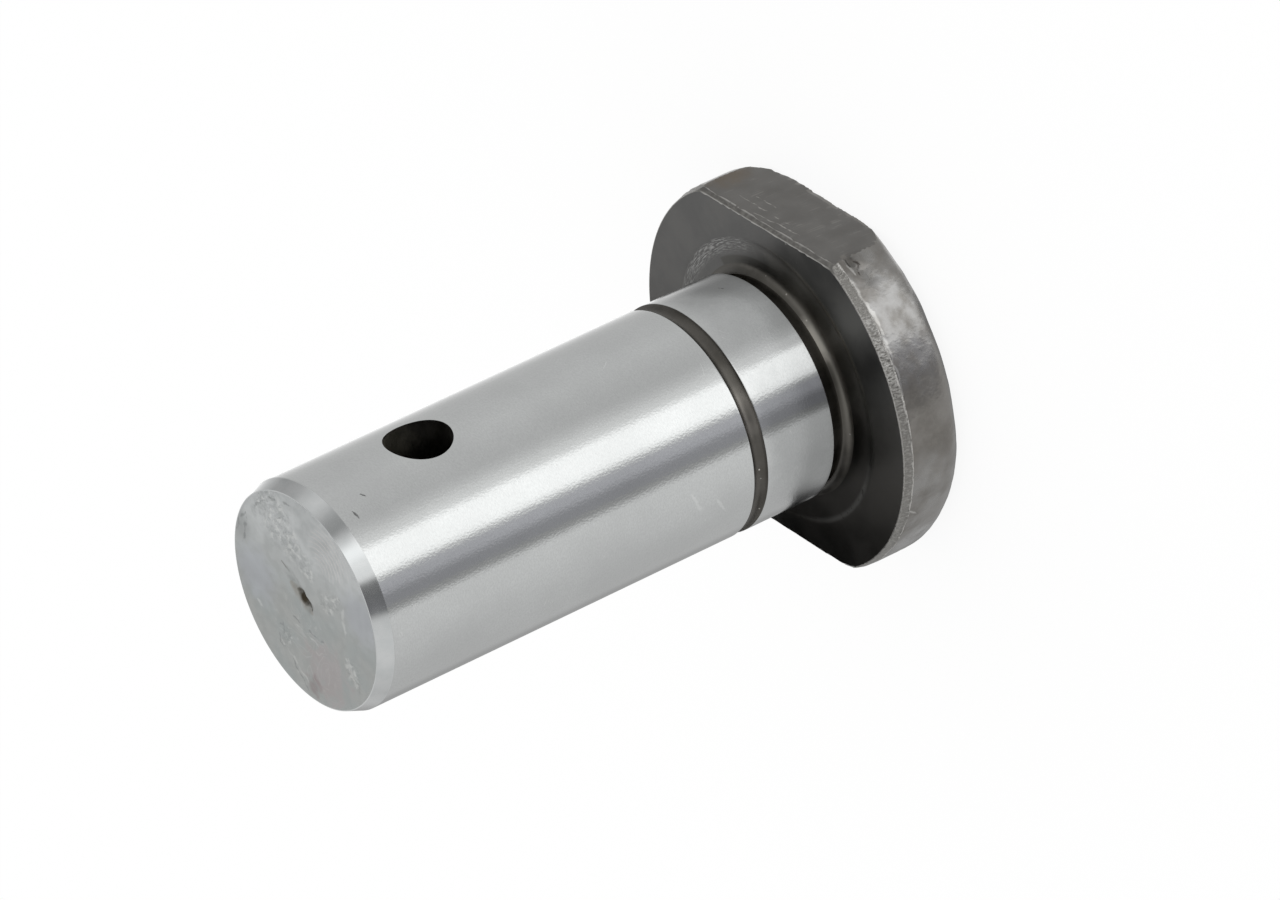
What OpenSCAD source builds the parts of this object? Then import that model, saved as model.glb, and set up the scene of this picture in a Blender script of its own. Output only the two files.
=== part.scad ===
// Headed pivot pin: a round shank with a double-flat head, forged and machined from one piece of steel.
// The head stands on the plane z = 0 and the shank rises along +Z to the free end.
// The two flats of the head face -Y and +Y, and the cross hole runs along Y, square to them.

/* [Shank] */
// Diameter of the ground shank
shank_d = 28; // [20:0.5:32]
// Length from the underside of the head to the free end
shank_l = 66.5; // [55:0.5:120]
// Length of the lead-in chamfer at the free end, along the axis
lead_l = 1.9; // [0.5:0.1:4]
// Depth of the lead-in chamfer, across the radius
lead_depth = 0.7; // [0.2:0.1:2]

/* [Head] */
// Diameter of the head across its two round sides
head_d = 47.5; // [44:0.5:60]
// Width of the head across its two milled flats
head_flats_w = 41; // [38:0.5:43]
// Thickness of the head
head_t = 9; // [6:0.5:14]
// Radius of the round rim at the back of the head
rim_r = 3.2; // [1:0.1:5]
// Length of the trimmed strip at the front of the two round sides, along the axis
trim_l = 1.1; // [0.5:0.1:2]
// Depth of that strip at the head's front face, across the radius
trim_depth = 0.35; // [0.1:0.05:0.8]
// Width of the chamfer along the front edges of the two flats
edge_break = 0.5; // [0.2:0.1:1]
// Width of the broken edge at the back of the two flats
flat_back_break = 0.4; // [0.2:0.1:0.8]

/* [Neck] */
// Depth of the undercut neck, below the surface of the shank
neck_depth = 0.9; // [0.3:0.1:2]
// Width of the undercut neck, from the head to the end of the shank
neck_w = 2.5; // [2:0.1:5]
// Radius of the fillet between the neck and the head
neck_fillet_r = 1.2; // [0.5:0.1:1.8]
// How far past the shank's surface the shallow turned face on the head reaches
spot_w = 3.2; // [2:0.1:4]
// Depth of that turned face
spot_depth = 0.2; // [0.1:0.05:0.5]

/* [Ring groove] */
// Width of the ring groove at the surface of the shank
groove_w = 2; // [1:0.1:3]
// Depth of the ring groove, which has a round bottom
groove_depth = 0.7; // [0.3:0.1:0.9]
// Distance from the underside of the head to the middle of the groove
groove_pos = 13; // [8:0.5:20]

/* [Cross hole] */
// Diameter of the hole drilled across the shank
hole_d = 8; // [4:0.5:12]
// Distance from the free end to the middle of the cross hole
hole_from_end = 17; // [10:0.5:25]

/* [Centre mark] */
// Diameter of the turning centre's mark in the free end
mark_d = 1.6; // [0.5:0.1:4]
// Depth of that mark
mark_depth = 0.5; // [0.2:0.1:1]

/* [Hidden] */
$fn = 96;
steel = "#A3A4A6";
// How far a cutting shape reaches past the surface that it cuts
past = 1;

shank_r = shank_d / 2;
head_r = head_d / 2;
neck_r = shank_r - neck_depth;
spot_r = shank_r + spot_w;
total_l = head_t + shank_l;
shank_start_z = head_t + neck_w;
spot_floor_z = head_t - spot_depth;
// The groove's bottom is the arc that has this width and depth
groove_arc_r = (groove_w * groove_w / 4 + groove_depth * groove_depth) / (2 * groove_depth);

// Half section of the shank, from the axis outwards, with its lead-in chamfer
module shank_section() {
    polygon([
        [0, shank_start_z],
        [shank_r, shank_start_z],
        [shank_r, total_l - lead_l],
        [shank_r - lead_depth, total_l],
        [0, total_l]
    ]);
}

// Half section of the ring groove, a circle that dips into the shank's surface
module groove_section() {
    translate([shank_r - groove_depth + groove_arc_r, head_t + groove_pos]) circle(r = groove_arc_r);
}

// Half section of the neck, which flares into the head by a hollow fillet
module neck_section() {
    flare_r = neck_r + neck_fillet_r;
    difference() {
        translate([0, spot_floor_z - past]) square([flare_r, shank_start_z - spot_floor_z + past]);
        translate([neck_r, spot_floor_z + neck_fillet_r]) square([neck_fillet_r + past, neck_w + past]);
        translate([flare_r, spot_floor_z + neck_fillet_r]) circle(r = neck_fillet_r);
    }
}

// What a round corner of radius r takes off a square one, whose point is at the origin
module corner_waste(r) {
    difference() {
        translate([-r, -past]) square([r + past, r + past]);
        translate([-r, r]) circle(r = r);
    }
}

// Half section of the head as turned: round back rim, trimmed front edge, shallow face by the neck
module head_section() {
    difference() {
        polygon([
            [0, 0],
            [head_r, 0],
            [head_r, head_t - trim_l],
            [head_r - trim_depth, head_t],
            [0, head_t]
        ]);
        translate([head_r, 0]) corner_waste(rim_r);
        translate([0, spot_floor_z]) square([spot_r, spot_depth + past]);
    }
}

// Section of one flat's cutter, seen along X: the flat, its front chamfer and its back edge break
module flat_cut_section() {
    flat_y = head_flats_w / 2;
    polygon([
        [flat_y - flat_back_break, -past],
        [flat_y - flat_back_break, 0],
        [flat_y, flat_back_break],
        [flat_y, head_t - edge_break],
        [flat_y - edge_break, head_t],
        [flat_y - edge_break, head_t + past],
        [head_r + past, head_t + past],
        [head_r + past, -past]
    ]);
}

// Cuts both flats, each by one straight extrusion along X
module head_flats() {
    for (side = [0, 180])
        rotate([0, 0, side])
            translate([-head_r - past, 0, 0])
                rotate([90, 0, 90])
                    linear_extrude(height = head_d + 2 * past) flat_cut_section();
}

// Head, neck and shank in their turned form, with the flats milled
module pin_blank() {
    difference() {
        rotate_extrude() head_section();
        head_flats();
    }
    rotate_extrude() neck_section();
    rotate_extrude() difference() {
        shank_section();
        groove_section();
    }
}

module cross_hole() {
    translate([0, 0, total_l - hole_from_end])
        rotate([90, 0, 0])
            cylinder(d = hole_d, h = shank_d + 2 * past, center = true);
}

// Small cone left by the turning centre
module centre_mark() {
    translate([0, 0, total_l - mark_depth]) cylinder(d1 = 0, d2 = mark_d, h = mark_depth);
}

module pivot_pin() {
    color(steel) difference() {
        pin_blank();
        cross_hole();
        centre_mark();
    }
}

pivot_pin();
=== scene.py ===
import math

import bmesh
import bpy
from mathutils import Matrix, Vector


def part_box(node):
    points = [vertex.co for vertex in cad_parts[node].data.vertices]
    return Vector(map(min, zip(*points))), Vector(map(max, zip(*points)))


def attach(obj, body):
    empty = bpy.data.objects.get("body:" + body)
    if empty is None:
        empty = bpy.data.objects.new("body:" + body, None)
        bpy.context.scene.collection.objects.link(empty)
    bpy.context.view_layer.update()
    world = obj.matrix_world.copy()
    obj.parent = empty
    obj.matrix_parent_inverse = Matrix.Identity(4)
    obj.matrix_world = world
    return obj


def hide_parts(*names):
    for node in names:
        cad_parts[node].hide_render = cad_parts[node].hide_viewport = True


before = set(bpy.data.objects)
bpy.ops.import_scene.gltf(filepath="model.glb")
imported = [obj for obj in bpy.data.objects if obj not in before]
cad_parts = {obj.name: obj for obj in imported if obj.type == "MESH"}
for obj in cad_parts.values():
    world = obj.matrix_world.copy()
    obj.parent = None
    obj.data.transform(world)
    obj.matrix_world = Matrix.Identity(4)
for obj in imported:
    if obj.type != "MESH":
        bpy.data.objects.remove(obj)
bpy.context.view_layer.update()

# THE PIN
# One steel forging: a round shank with a double-flat head. The shank is turned and ground bright,
# while the head keeps its dark forged skin. A ring groove and a neck are turned into it, the flats
# of the head are milled, and a cross hole is drilled through the free end.

MM = 0.001
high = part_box("pivot_pin")[1]
head_r = high.x
flat_y = high.y
end_z = high.z
head_t = 9 * MM
shank_r = 14 * MM
lead_l = 1.9 * MM
lead_depth = 0.7 * MM
groove_z = head_t + 13 * MM
groove_half_w = 1 * MM
groove_depth = 0.7 * MM
neck_r = shank_r - 0.9 * MM
neck_top_z = head_t + 2.5 * MM
neck_fillet_r = 1.2 * MM
spot_r = shank_r + 3.2 * MM
spot_z = head_t - 0.07 * MM
strip_depth = 0.34 * MM
strip_l = 1.1 * MM
rim_r = 3.2 * MM
spot_step_w = 0.5 * MM
hole_r = 4 * MM
hole_z = end_z - 17 * MM


def deselect_objects():
    bpy.ops.object.select_all(action="DESELECT")


def run(dr, dz, steps=1):
    """Draws the half section on from its last corner, outwards by dr and up by dz."""
    for _ in range(steps):
        bpy.ops.mesh.extrude_region_move(
            TRANSFORM_OT_translate={"value": (dr / steps, 0, dz / steps)})


def bend(radius, start, sweep, steps):
    """Draws an arc on: start is the angle of its first point seen from its middle, in degrees."""
    here = math.radians(start)
    for _ in range(steps):
        there = here + math.radians(sweep / steps)
        run(radius * (math.cos(there) - math.cos(here)), radius * (math.sin(there) - math.sin(here)))
        here = there


def pick(kind, test):
    """Selects the faces or the vertices that pass the test, and nothing else."""
    bpy.ops.mesh.select_all(action="DESELECT")
    mesh = bmesh.from_edit_mesh(bpy.context.object.data)
    for item in getattr(mesh, kind):
        if test(item):
            item.select_set(True)
    mesh.select_flush_mode()
    bmesh.update_edit_mesh(bpy.context.object.data)


def pick_faces(test):
    pick("faces", lambda face: test(face.calc_center_median(), face.normal))


def pick_points(test):
    pick("verts", lambda vertex: test(vertex.co))


def radius_of(p):
    return math.hypot(p.x, p.y)


# The half section is drawn from the middle of the end face, down the shank, to the middle of the back
deselect_objects()
bpy.ops.mesh.primitive_plane_add(size=MM, location=(0, 0, 0))
pin = bpy.context.object
pin.name = "pivot_pin_forging"
pin.data.name = "pivot_pin_forging"
bpy.ops.object.mode_set(mode="EDIT")
bpy.ops.mesh.select_all(action="SELECT")
bpy.ops.mesh.merge(type="CENTER")
bpy.ops.transform.translate(value=(0, 0, end_z))
# Every turned corner is softened: the values that end in _w and _h say how far across and how far up
edge_soft = 0.12 * MM
face_r = shank_r - lead_depth
face_edge_h = 0.35 * edge_soft
lead_corner_w = 0.05 * MM
lead_corner_h = 0.12 * MM
run(face_r - edge_soft, 0, 36)
run(edge_soft, -face_edge_h)
run(lead_depth - lead_corner_w, -(lead_l - face_edge_h - lead_corner_h), 3)
run(lead_corner_w, -lead_corner_h)
# A narrow strip beside each edge of the shank keeps the shading of the long faces straight
edge_strip = 0.12 * MM
shank_top_z = end_z - lead_l
hole_band = 5 * MM
groove_corner_w = 0.02 * MM
groove_corner_h = 0.06 * MM
run(0, -edge_strip)
run(0, hole_z + hole_band - shank_top_z + edge_strip)
run(0, -2 * hole_band, 4)
run(0, groove_z + groove_half_w + groove_corner_h + edge_strip - (hole_z - hole_band), 6)
run(0, -edge_strip)
run(-groove_corner_w, -groove_corner_h)
arc_r = (groove_half_w ** 2 + groove_depth ** 2) / (2 * groove_depth)
arc_half = math.degrees(math.asin(groove_half_w / arc_r))
# The groove's arc lies between its two corners, so it is a little smaller than the whole one
arc_share = 0.985
bend(arc_r * arc_share, 180 - arc_half, 2 * arc_half, 14)
run(groove_corner_w, -groove_corner_h)
# The section goes on from where the arc has ended
mesh = bmesh.from_edit_mesh(pin.data)
mesh.verts.ensure_lookup_table()
at = mesh.verts[-1].co.copy()
neck_corner_w = 0.08 * MM
neck_corner_h = 0.1 * MM
neck_slope_h = 0.15 * MM
run(shank_r - at.x, -edge_strip)
run(0, neck_top_z + neck_corner_h - at.z + 2 * edge_strip, 4)
run(0, -edge_strip)
run(-neck_corner_w, -neck_corner_h)
run(neck_r - shank_r + neck_corner_w, -neck_slope_h, 2)
run(0, spot_z + neck_fillet_r - neck_top_z + neck_slope_h, 4)
bend(neck_fillet_r, 180, 90, 8)
run(spot_r - neck_r - neck_fillet_r, 0, 6)
run(spot_step_w, head_t - spot_z, 3)
strip_r = head_r - strip_depth
strip_edge_h = 0.5 * edge_soft
strip_corner_w = 0.04 * MM
strip_corner_h = 0.18 * MM
sliver_w = 0.01 * MM
sliver_h = 0.1 * MM
run(strip_r - edge_soft - spot_r - spot_step_w, 0, 12)
run(edge_soft, -strip_edge_h)
run(strip_depth - strip_corner_w, -(strip_l - strip_edge_h), 3)
run(strip_corner_w - sliver_w, sliver_h - strip_corner_h)
run(sliver_w, -sliver_h)
side_top = head_t - strip_l - strip_corner_h
run(0, rim_r - side_top, 8)
bend(rim_r, 0, -90, 12)
run(-(head_r - rim_r), 0, 26)

# It is turned round the axis into one closed body
bpy.ops.object.mode_set(mode="OBJECT")
turn_steps = 300
weld = 0.002 * MM
turning = pin.modifiers.new("turning", "SCREW")
turning.axis = "Z"
turning.angle = 2 * math.pi
turning.steps = turn_steps
turning.render_steps = turn_steps
turning.use_merge_vertices = True
turning.merge_threshold = weld
bpy.ops.object.modifier_apply(modifier=turning.name)
bpy.ops.object.mode_set(mode="EDIT")
bpy.ops.mesh.select_all(action="SELECT")
bpy.ops.mesh.remove_doubles(threshold=weld)
bpy.ops.mesh.normals_make_consistent(inside=False)

# The two flats are milled off the head, and each new face gets a fine grid
grid_step = 0.7 * MM
columns_each_way = 16
rows = 12
chamfer = 0.5 * MM
chamfer_reach = 2 * MM
for side in (-1, 1):
    bpy.ops.mesh.select_all(action="SELECT")
    bpy.ops.mesh.bisect(
        plane_co=(0, side * flat_y, 0), plane_no=(0, side, 0), use_fill=True, clear_outer=True)
    pick_faces(lambda middle, normal: (
        normal.y * side > 0.999 and abs(middle.y - side * flat_y) < 0.01 * MM))
    bpy.ops.mesh.hide(unselected=True)
    for i in range(-columns_each_way, columns_each_way + 1):
        bpy.ops.mesh.select_all(action="SELECT")
        bpy.ops.mesh.bisect(plane_co=(i * grid_step, 0, 0), plane_no=(1, 0, 0))
    for i in range(1, rows + 1):
        bpy.ops.mesh.select_all(action="SELECT")
        bpy.ops.mesh.bisect(plane_co=(0, 0, i * grid_step), plane_no=(0, 0, 1))
    bpy.ops.mesh.reveal(select=False)
    # Its front edge is chamfered
    pick_faces(lambda middle, normal: (
        middle.y * side > flat_y - chamfer_reach and abs(middle.z - head_t) < chamfer_reach))
    bpy.ops.mesh.bisect(plane_co=(0, side * flat_y, head_t - chamfer), plane_no=(0, side, 1),
                        use_fill=True, clear_outer=True)

# The four corners of the head are rounded off, and so are the back edges of the flats
corner_x = math.sqrt(head_r ** 2 - flat_y ** 2)
corner_reach = 1.3 * MM
corner_foot_z = 1.2 * MM
back_edge_reach = 0.6 * MM
for side_x, side_y, passes in ((-1, -1, 3), (1, -1, 2), (-1, 1, 5), (1, 1, 5)):
    pick_points(lambda p: p.z > corner_foot_z and math.hypot(
        p.x - side_x * corner_x, p.y - side_y * flat_y) < corner_reach)
    bpy.ops.mesh.vertices_smooth(factor=0.5, repeat=passes)
pick_points(lambda p: abs(p.y) > flat_y - back_edge_reach and p.z < back_edge_reach)
bpy.ops.mesh.vertices_smooth(factor=0.5, repeat=2)


def press(points, depth, reach):
    """Presses a dent into the surface: a few strokes of proportional editing along a line of points."""
    touch = 0.3 * MM
    for point, share in points:
        pick_points(lambda p: (p - point).length < touch)
        bpy.ops.transform.translate(
            value=depth * share, use_proportional_edit=True, use_proportional_connected=False,
            proportional_edit_falloff="SMOOTH", proportional_size=reach)


# The end face keeps the dent of the shears, deepest at the centre mark
dent_out = Vector((3.2 * MM, -2.8 * MM, end_z))
dent_in = Vector((-0.8 * MM, 0.7 * MM, end_z))
strokes = [(dent_in.lerp(dent_out, share), 1) for share in (0, 0.25, 0.5, 0.75, 1)]
press(strokes, Vector((0, 0, -0.04 * MM)), 2.2 * MM)
strokes = [(dent_in.lerp(dent_out, share), weight) for share, weight in (
    (0.0, 0.5), (0.1, 1.0), (0.2, 1.2), (0.3, 1.0), (0.4, 0.8), (0.5, 0.7), (0.6, 0.6), (0.7, 0.6),
    (0.8, 0.5), (0.9, 0.4), (1.0, 0.3))]
press(strokes, Vector((0, 0, -0.24 * MM)), 0.8 * MM)

# A lap, where the steel folded over in the forging dies, runs across one corner of the head
lap_angle = math.radians(238)
lap_r = head_r - 0.1 * MM
strokes = []
for share in (0, 0.2, 0.4, 0.6, 0.8, 1):
    angle = lap_angle + math.radians(-6 + 9 * share)
    height = (5.4 + 1.6 * share) * MM
    strokes.append((Vector((lap_r * math.cos(angle), lap_r * math.sin(angle), height)), 1))
inwards = Vector((-math.cos(lap_angle), -math.sin(lap_angle), 0))
press(strokes, inwards * 0.28 * MM, 0.8 * MM)
bpy.ops.object.mode_set(mode="OBJECT")


def sway(name, grain, strength, rest, weight):
    """Moves the surface in and out in slow waves, as much at each point as the weight there says."""
    group = pin.vertex_groups.new(name=name)
    for vertex in pin.data.vertices:
        amount = weight(vertex.co)
        if amount > 0:
            group.add([vertex.index], amount, "REPLACE")
    waves = bpy.data.textures.new(name, "CLOUDS")
    waves.noise_scale = grain
    waves.noise_depth = 2
    waver = pin.modifiers.new(name, "DISPLACE")
    waver.texture = waves
    waver.texture_coords = "LOCAL"
    waver.vertex_group = name
    waver.strength = strength
    waver.mid_level = rest
    bpy.ops.object.modifier_apply(modifier=waver.name)


def ease(value, start, stop):
    share = min(max((value - start) / (stop - start), 0), 1)
    return share * share * (3 - 2 * share)


def end_skin_share(p):
    return ease(p.z, end_z - 1.0 * MM, end_z - 0.6 * MM)


sway("forging_waves", 7 * MM, 0.5 * MM, 0.62, lambda p: (
    ease(radius_of(p), 19.5 * MM, 21 * MM) * (1 - ease(p.z, 3 * MM, 6 * MM))
    * (0.4 if p.z > 0.5 * MM else 1)))
sway("side_waves", 4 * MM, 0.22 * MM, 0.6, lambda p: (
    ease(radius_of(p), 20.3 * MM, 20.6 * MM) * (1 - ease(p.z, 6.6 * MM, 7.6 * MM))))
sway("burr", 1.3 * MM, 0.22 * MM, 0.55, lambda p: (
    ease(radius_of(p), 23.3 * MM, 23.55 * MM) * ease(p.z, 7.2 * MM, 7.6 * MM)
    * (1 - ease(p.z, 8.0 * MM, 8.4 * MM))))
sway("end_skin", 2.2 * MM, 0.12 * MM, 0.5, lambda p: (
    end_skin_share(p) * (1 - ease(radius_of(p), 11.6 * MM, 12.8 * MM))))
torn_middle = Vector((3.0 * MM, -7.2 * MM, end_z))
sway("end_tears", 0.9 * MM, 0.22 * MM, 0.5, lambda p: (
    end_skin_share(p) * (1 - ease((p - torn_middle).length, 2.2 * MM, 5.5 * MM))))

# The cross hole is drilled square to the flats
deselect_objects()
bpy.ops.mesh.primitive_cylinder_add(vertices=96, radius=hole_r, depth=3 * shank_r,
                                    location=(0, 0, hole_z), rotation=(math.radians(90), 0, 0))
drill = bpy.context.object
drill.name = "drill"
deselect_objects()
pin.select_set(True)
bpy.context.view_layer.objects.active = pin
drilling = pin.modifiers.new("drilling", "BOOLEAN")
drilling.operation = "DIFFERENCE"
drilling.solver = "EXACT"
drilling.object = drill
bpy.ops.object.modifier_apply(modifier=drilling.name)
bpy.data.objects.remove(drill)
bpy.ops.object.shade_smooth_by_angle(angle=math.radians(25))

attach(pin, "root")
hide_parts("pivot_pin")


def place(tree, kind, sockets=None, **settings):
    """Adds a node. Each of its sockets is given a plain value, or the output of another node."""
    node = tree.nodes.new("ShaderNode" + kind)
    for name, value in settings.items():
        setattr(node, name, value)
    for name, value in (sockets or {}).items():
        if isinstance(value, bpy.types.NodeSocket):
            tree.links.new(value, node.inputs[name])
        else:
            node.inputs[name].default_value = value
    return node


def work_out(tree, operation, first, second=0.0, clamp=False):
    node = place(tree, "Math", {0: first, 1: second}, operation=operation, use_clamp=clamp)
    return node.outputs[0]


def times(tree, first, second):
    """Multiplies two values. A mask times a share is a weaker mask."""
    return work_out(tree, "MULTIPLY", first, second)


def either(tree, first, second):
    """Puts out the stronger of two masks."""
    return work_out(tree, "MAXIMUM", first, second)


def tint(tree, share, under, over):
    """Lays one colour over another, as strongly as the share says."""
    node = place(tree, "Mix", {0: share, 6: under, 7: over}, data_type="RGBA")
    return node.outputs[2]


def lay_on(tree, under, mask, strength, over):
    """Lays a colour over another where the mask is, at most as strongly as the strength says."""
    return tint(tree, times(tree, mask, strength), under, over)


def open_group(name, numbers, points=()):
    """Starts a node group that reads a place in millimetres and puts out one mask."""
    group = bpy.data.node_groups.new(name, "ShaderNodeTree")
    for label in ("Place",) + points:
        group.interface.new_socket(label, in_out="INPUT", socket_type="NodeSocketVector")
    for label, value in numbers.items():
        socket = group.interface.new_socket(label, in_out="INPUT", socket_type="NodeSocketFloat")
        socket.default_value = value
    group.interface.new_socket("Mask", in_out="OUTPUT", socket_type="NodeSocketFloat")
    inlet = group.nodes.new("NodeGroupInput")
    outlet = group.nodes.new("NodeGroupOutput")
    return group, inlet.outputs, outlet


def soft_step(tree, value, start, stop):
    node = place(tree, "MapRange", {"Value": value, "From Min": start, "From Max": stop},
                 interpolation_type="SMOOTHSTEP")
    return node.outputs[0]


# Cloudy blotches, whose share of the surface Low and High set
blotches, given, outlet = open_group("blotches", {
    "Scale": 1, "Stretch": 1, "Low": 0.35, "High": 0.65, "Detail": 4})
spread = place(blotches, "CombineXYZ", {"X": 1, "Y": 1, "Z": given["Stretch"]})
scaled = place(blotches, "VectorMath", {0: given["Place"], 1: spread.outputs[0]}, operation="MULTIPLY")
noise = place(blotches, "TexNoise", {
    "Vector": scaled.outputs[0], "Scale": given["Scale"], "Detail": given["Detail"]})
mask = soft_step(blotches, noise.outputs["Fac"], given["Low"], given["High"])
blotches.links.new(mask, outlet.inputs["Mask"])

# Fine scratches in one direction: thin lines where a stretched noise crosses its middle, in short runs
hairs, given, outlet = open_group("hairs", {
    "Scale": 1, "Turn": 0, "Stretch": 12, "Width": 0.02, "Cover": 0.5})
turned = place(hairs, "VectorRotate", {"Vector": given["Place"], "Angle": given["Turn"]},
               rotation_type="Y_AXIS")
spread = place(hairs, "CombineXYZ", {"X": given["Stretch"], "Y": given["Stretch"], "Z": 1})
scaled = place(hairs, "VectorMath", {0: turned.outputs[0], 1: spread.outputs[0]}, operation="DIVIDE")
noise = place(hairs, "TexNoise", {"Vector": scaled.outputs[0], "Scale": given["Scale"], "Detail": 1})
off_middle = work_out(hairs, "ABSOLUTE", work_out(hairs, "SUBTRACT", noise.outputs["Fac"], 0.5))
line = soft_step(hairs, off_middle, given["Width"], 0.0)
breaks = place(hairs, "TexNoise", {"Vector": given["Place"], "Scale": 0.5, "Detail": 2})
keep = soft_step(hairs, breaks.outputs["Fac"], given["Cover"],
                 work_out(hairs, "ADD", given["Cover"], 0.12))
hairs.links.new(times(hairs, line, keep), outlet.inputs["Mask"])

# Small dots scattered over the surface
dots, given, outlet = open_group("dots", {"Scale": 1, "Size": 0.1, "Cover": 0.2})
cells = place(dots, "TexVoronoi", {"Vector": given["Place"], "Scale": given["Scale"]})
near = soft_step(dots, cells.outputs["Distance"], given["Size"], 0.0)
lucky = place(dots, "SeparateColor", {"Color": cells.outputs["Color"]})
chosen = work_out(dots, "LESS_THAN", lucky.outputs[0], given["Cover"])
dots.links.new(times(dots, near, chosen), outlet.inputs["Mask"])

# A soft round patch about one point of the surface
patch, given, outlet = open_group("patch", {"X": 0, "Y": 0, "Z": 0, "Reach": 1, "Ragged": 0.3})
middle = place(patch, "CombineXYZ", {name: given[name] for name in "XYZ"})
apart = place(patch, "VectorMath", {0: given["Place"], 1: middle.outputs[0]}, operation="DISTANCE")
share = work_out(patch, "DIVIDE", apart.outputs["Value"], given["Reach"])
noise = place(patch, "TexNoise", {"Vector": given["Place"], "Scale": 0.7, "Detail": 4})
fray = times(patch, work_out(patch, "SUBTRACT", noise.outputs["Fac"], 0.5), given["Ragged"])
mask = soft_step(patch, work_out(patch, "ADD", share, fray), 1.0, 0.3)
patch.links.new(mask, outlet.inputs["Mask"])

# A mark drawn from one point to another: a spindle, whose sides Fray makes ragged
stroke, given, outlet = open_group("stroke", {"Width": 0.3, "Fray": 0}, points=("From", "To"))
along = place(stroke, "VectorMath", {0: given["To"], 1: given["From"]}, operation="SUBTRACT")
off = place(stroke, "VectorMath", {0: given["Place"], 1: given["From"]}, operation="SUBTRACT")
reached = place(stroke, "VectorMath", {0: off.outputs[0], 1: along.outputs[0]}, operation="DOT_PRODUCT")
whole = place(stroke, "VectorMath", {0: along.outputs[0], 1: along.outputs[0]}, operation="DOT_PRODUCT")
share = work_out(stroke, "DIVIDE", reached.outputs["Value"], whole.outputs["Value"], clamp=True)
painted_light_by_neck = place(stroke, "VectorMath", {0: along.outputs[0], "Scale": share}, operation="SCALE")
apart = place(stroke, "VectorMath", {0: off.outputs[0], 1: painted_light_by_neck.outputs[0]}, operation="DISTANCE")
off_half = work_out(stroke, "SUBTRACT", times(stroke, share, 2), 1)
thinner = times(stroke, work_out(stroke, "POWER", off_half, 2), 0.6)
taper = work_out(stroke, "SUBTRACT", 1, thinner)
reach = times(stroke, given["Width"], taper)
out_share = work_out(stroke, "DIVIDE", apart.outputs["Value"], reach)
frayed = work_out(stroke, "ADD", out_share, given["Fray"])
stroke.links.new(soft_step(stroke, frayed, 1.0, 0.2), outlet.inputs["Mask"])


def finish_steel(name):
    """Starts a material and returns its tree, its shader and its place in millimetres."""
    material = bpy.data.materials.new(name)
    material.use_nodes = True
    tree = material.node_tree
    shader = tree.nodes["Principled BSDF"]
    shader.inputs["Metallic"].default_value = 1
    where = place(tree, "TexCoord")
    in_mm = place(tree, "Mapping", {"Vector": where.outputs["Object"], "Scale": (1000, 1000, 1000)})
    return material, tree, shader, in_mm.outputs[0]


def add_mask(tree, group, point, **numbers):
    node = place(tree, "Group", {"Place": point, **numbers}, node_tree=group)
    return node.outputs["Mask"]


def measure(tree, point):
    """How far a place is out from the pin's axis, how far across the flats, and how high."""
    parts = place(tree, "SeparateXYZ", {"Vector": point})
    flat = place(tree, "CombineXYZ", {"X": parts.outputs["X"], "Y": parts.outputs["Y"]})
    out = place(tree, "VectorMath", {0: flat.outputs[0]}, operation="LENGTH")
    return out.outputs["Value"], work_out(tree, "ABSOLUTE", parts.outputs["Y"]), parts.outputs["Z"]


def azimuth_of(tree, vector):
    parts = place(tree, "SeparateXYZ", {"Vector": vector})
    return work_out(tree, "ARCTAN2", parts.outputs["Y"], parts.outputs["X"])


def draw_strokes(tree, point, marks, ragged, grain=1.5, bend=0.8):
    """Masks a few strokes, each given by its two ends and its half width in millimetres."""
    drift = place(tree, "TexNoise", {"Vector": point, "Scale": 0.55, "Detail": 3})
    centred = place(tree, "VectorMath", {0: drift.outputs["Color"], 1: (0.5, 0.5, 0.5)},
                    operation="SUBTRACT")
    shift = place(tree, "VectorMath", {0: centred.outputs[0], "Scale": bend}, operation="SCALE")
    wavering = place(tree, "VectorMath", {0: point, 1: shift.outputs[0]}, operation="ADD")
    noise = place(tree, "TexNoise", {"Vector": point, "Scale": grain, "Detail": 4})
    fray = times(tree, work_out(tree, "SUBTRACT", noise.outputs["Fac"], 0.5), ragged)
    total = 0.0
    for start, stop, width in marks:
        mask = add_mask(tree, stroke, wavering.outputs[0], From=start, To=stop, Width=width, Fray=fray)
        total = either(tree, mask, total)
    return total


def roughen(tree, shader, low, high, share):
    node = place(tree, "MapRange", {"Value": share, "To Min": low, "To Max": high})
    tree.links.new(node.outputs[0], shader.inputs["Roughness"])


def emboss(tree, shader, height, depth_mm, strength=1.0):
    node = place(tree, "Bump", {"Height": height, "Distance": depth_mm * MM, "Strength": strength})
    tree.links.new(node.outputs[0], shader.inputs["Normal"])


def paint_colour(tree, shader, colour):
    tree.links.new(colour, shader.inputs["Base Color"])


def on_round(radius, azimuth, height):
    """A point of a round surface, in millimetres."""
    return (radius * math.cos(math.radians(azimuth)), radius * math.sin(math.radians(azimuth)), height)


def on_shank(azimuth, height):
    return on_round(14, azimuth, height)
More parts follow.
